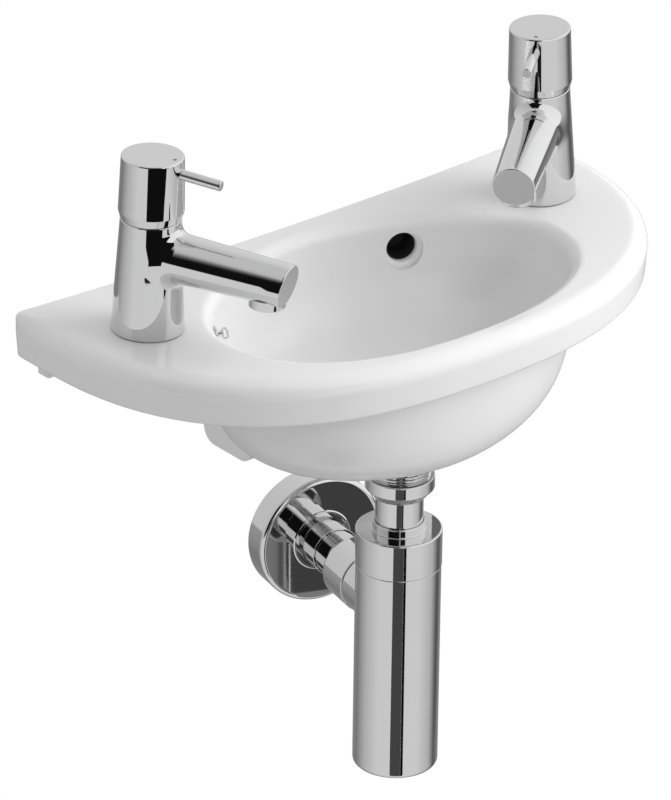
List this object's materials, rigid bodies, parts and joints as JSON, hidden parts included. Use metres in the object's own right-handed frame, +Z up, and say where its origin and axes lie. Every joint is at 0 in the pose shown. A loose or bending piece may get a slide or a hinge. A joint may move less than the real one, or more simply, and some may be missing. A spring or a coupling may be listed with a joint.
{
  "type": "cloakroom basin",
  "caption": "Wall-hung cloakroom basin in white ceramic with single-lever pillar taps, slotted waste and bottle trap.",
  "frame": {"origin": "on the wall plane, midway between the two wall-fixing holes", "axes": "+X right along the wall, +Y into the wall, +Z up"},
  "size_m": [0.45, 0.2373, 0.4739],
  "materials": {
    "glaze": "glossy white glaze",
    "chrome": "mirror chrome plate",
    "brass": "machined brass",
    "rubber": "matt black rubber",
    "plastic": "moulded plastic",
    "index": "enamel-filled dot"
  },
  "bodies": {
    "root": {"basin": "glaze", "chain_stay": "chrome", "chain_stay_washer": "rubber", "chain_stay_nut": "chrome", "waste_body": "chrome", "waste_top_seal": "rubber", "waste_lower_seal": "rubber", "waste_backnut": "brass", "inlet_nut": "chrome", "inlet_seal": "rubber", "inlet_tube": "chrome", "tap_body_left": "chrome", "cartridge_left": "brass", "aerator_housing_left": "chrome", "aerator_screen_left": "plastic", "foot_seal_left": "rubber", "tail_washer_left": "rubber", "tail_nut_left": "brass", "tap_body_right": "chrome", "cartridge_right": "brass", "aerator_housing_right": "chrome", "aerator_screen_right": "plastic", "foot_seal_right": "rubber", "tail_washer_right": "rubber", "tail_nut_right": "brass"},
    "handle_left": {"spindle_left": "brass", "handle_left": "chrome", "lever_left": "chrome", "index_dot_left": "index"},
    "handle_right": {"spindle_right": "brass", "handle_right": "chrome", "lever_right": "chrome", "index_dot_right": "index"},
    "trap": {"bottle": "chrome", "outlet_nut": "chrome", "outlet_seal": "rubber", "outlet_pipe": "chrome"},
    "cap_lift": {"cap_seal": "rubber"},
    "cap": {"trap_cap": "chrome"},
    "flange": {"wall_flange": "chrome", "flange_grip_ring": "rubber"}
  },
  "joints": [
    {"name": "left_handle_turn", "type": "hinge", "parent": "root", "child": "handle_left", "pos_m": [-0.1668, -0.069, 0.0345], "axis": [0.0336, 0, 0.9994], "range_deg": [0, 90]},
    {"name": "right_handle_turn", "type": "hinge", "parent": "root", "child": "handle_right", "pos_m": [0.1668, -0.069, 0.0345], "axis": [-0.0336, 0, 0.9994], "range_deg": [-90, 0]},
    {"name": "trap_swivel", "type": "hinge", "parent": "root", "child": "trap", "pos_m": [0, -0.126, -0.167], "axis": [0, 0, 1], "continuous": true},
    {"name": "cap_rise", "type": "slide", "parent": "trap", "child": "cap_lift", "axis": [0, 0, 1], "range_m": [0, 0.012]},
    {"name": "cap_unscrew", "type": "hinge", "parent": "cap_lift", "child": "cap", "pos_m": [0, -0.126, -0.167], "axis": [0, 0, 1], "range_deg": [0, 1440]},
    {"name": "flange_slide", "type": "slide", "parent": "trap", "child": "flange", "axis": [-0.1959, -0.9806, 0], "range_m": [0, 0.018]}
  ],
  "couplings": [
    {"joint": "cap_rise", "follows": "cap_unscrew", "m_per_rad": 0.00047746}
  ]
}
